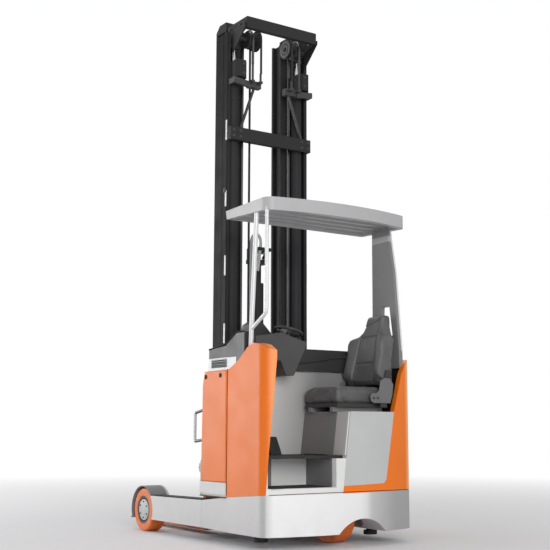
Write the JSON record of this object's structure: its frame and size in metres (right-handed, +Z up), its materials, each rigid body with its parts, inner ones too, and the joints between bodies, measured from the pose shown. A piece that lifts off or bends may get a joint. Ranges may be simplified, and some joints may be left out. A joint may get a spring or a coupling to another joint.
{
  "type": "sit-on reach truck",
  "caption": "Sit-on reach truck with straddle legs, sideways seat, overhead guard and a three-stage mast that reaches forward and lifts a tilting fork carriage.",
  "frame": {"origin": "on the floor, midway between the side faces and midway between the rear bulge and the fork tips", "axes": "+Z up, +Y towards the forks, +X to the truck's right"},
  "size_m": [1.176, 2.3734, 3.655],
  "materials": {
    "frame_grey": "satin",
    "body_orange": "semi-gloss",
    "panel_grey": "satin",
    "step_grey": "textured",
    "floor_mat": "ribbed",
    "black_steel": "satin",
    "black_rubber": "matte",
    "battery_case": "matte",
    "dark_plastic": "grained",
    "bright_tube": "gloss",
    "bare_steel": "brushed",
    "dark_iron": "cast",
    "wheel_tread": "matte",
    "hub_grey": "machined",
    "seat_cover": "grained",
    "mast_black": "satin",
    "rod_chrome": "polished",
    "fork_steel": "worn"
  },
  "bodies": {
    "chassis": {"chassis_frame": "frame_grey", "support_leg_left": "frame_grey", "support_leg_right": "frame_grey", "wheel_fenders": "black_steel", "stabiliser_pads": "black_rubber", "rear_panel_right": "body_orange", "seat_box": "panel_grey", "side_column_left": "body_orange", "entry_step": "step_grey", "floor_plate": "floor_mat", "front_bulkhead": "panel_grey", "battery_tray": "frame_grey", "battery_block": "battery_case", "battery_side_covers": "body_orange", "vent_band": "panel_grey", "hood": "dark_plastic", "dash_panel": "dark_plastic", "steering_console": "dark_plastic", "overhead_guard": "frame_grey", "guard_post_left": "bright_tube", "rear_pillar_right": "frame_grey", "bay_handle": "black_steel", "seat_rails": "bare_steel"},
    "drive_unit": {"drive_unit": "dark_iron"},
    "drive_wheel": {"drive_wheel_tyre": "wheel_tread", "drive_wheel_hub": "dark_iron"},
    "load_wheel_left": {"load_wheel_left_tyre": "wheel_tread", "load_wheel_left_hub": "hub_grey"},
    "load_wheel_right": {"load_wheel_right_tyre": "wheel_tread", "load_wheel_right_hub": "hub_grey"},
    "steering_wheel": {"steering_wheel": "dark_plastic"},
    "seat": {"seat_pan": "black_steel", "seat_cushion": "seat_cover"},
    "seat_back": {"seat_backrest": "seat_cover", "seat_recliner": "black_steel"},
    "reach_mast": {"outer_mast_rails": "mast_black", "lower_crossbeam": "mast_black", "lift_cylinder_barrels": "mast_black", "cylinder_clamps": "mast_black", "mast_head_brackets": "mast_black", "reach_carriage": "mast_black"},
    "mast_middle": {"middle_mast_rails": "mast_black", "top_beam": "mast_black", "hose_pulleys": "dark_plastic", "chain_sheaves": "dark_iron", "lift_cylinder_rods": "rod_chrome"},
    "mast_inner": {"inner_mast_rails": "mast_black", "inner_crossbars": "mast_black", "chain_feet": "mast_black", "free_lift_barrel": "mast_black"},
    "free_head": {"free_lift_head": "mast_black", "head_sheaves": "bare_steel"},
    "carriage": {"lift_carriage": "mast_black"},
    "tilt": {"tilt_frame": "mast_black"},
    "side_shift": {"side_shift_frame": "mast_black", "fork_left": "fork_steel", "fork_right": "fork_steel"}
  },
  "joints": [
    {"name": "drive_steer", "type": "hinge", "parent": "chassis", "child": "drive_unit", "pos_m": [0.11, -0.85165, 0.345], "axis": [0, 0, 1], "range_deg": [-90, 90]},
    {"name": "drive_spin", "type": "hinge", "parent": "drive_unit", "child": "drive_wheel", "pos_m": [0.11, -0.85165, 0.1715], "axis": [1, 0, 0], "continuous": true},
    {"name": "load_spin_left", "type": "hinge", "parent": "chassis", "child": "load_wheel_left", "pos_m": [-0.512, 0.50835, 0.15], "axis": [1, 0, 0], "continuous": true},
    {"name": "load_spin_right", "type": "hinge", "parent": "chassis", "child": "load_wheel_right", "pos_m": [0.512, 0.50835, 0.15], "axis": [1, 0, 0], "continuous": true},
    {"name": "steering_turn", "type": "hinge", "parent": "chassis", "child": "steering_wheel", "pos_m": [-0.19, -0.78665, 1.352], "axis": [0.2588, 0, 0.9659], "continuous": true},
    {"name": "seat_slide", "type": "slide", "parent": "chassis", "child": "seat", "axis": [1, 0, 0], "range_m": [-0.12, 0]},
    {"name": "seat_recline", "type": "hinge", "parent": "seat", "child": "seat_back", "pos_m": [0.328, -0.91165, 0.93], "axis": [0, 1, 0], "range_deg": [-20, 0]},
    {"name": "mast_reach", "type": "slide", "parent": "chassis", "child": "reach_mast", "axis": [0, 1, 0], "range_m": [0, 0.42]},
    {"name": "mast_lift", "type": "slide", "parent": "reach_mast", "child": "mast_middle", "axis": [0, 0, 1], "range_m": [0, 2.5]},
    {"name": "inner_lift", "type": "slide", "parent": "mast_middle", "child": "mast_inner", "axis": [0, 0, 1], "range_m": [0, 2.5]},
    {"name": "carriage_lift", "type": "slide", "parent": "mast_inner", "child": "carriage", "axis": [0, 0, 1], "range_m": [0, 2.8]},
    {"name": "head_lift", "type": "slide", "parent": "mast_inner", "child": "free_head", "axis": [0, 0, 1], "range_m": [0, 1.4]},
    {"name": "fork_tilt", "type": "hinge", "parent": "carriage", "child": "tilt", "pos_m": [0, 0.03635, 0.5], "axis": [1, 0, 0], "range_deg": [-1, 4]},
    {"name": "fork_shift", "type": "slide", "parent": "tilt", "child": "side_shift", "axis": [1, 0, 0], "range_m": [-0.075, 0.075]}
  ],
  "couplings": [
    {"joint": "inner_lift", "follows": "mast_lift", "ratio": 1},
    {"joint": "head_lift", "follows": "carriage_lift", "ratio": 0.5}
  ]
}
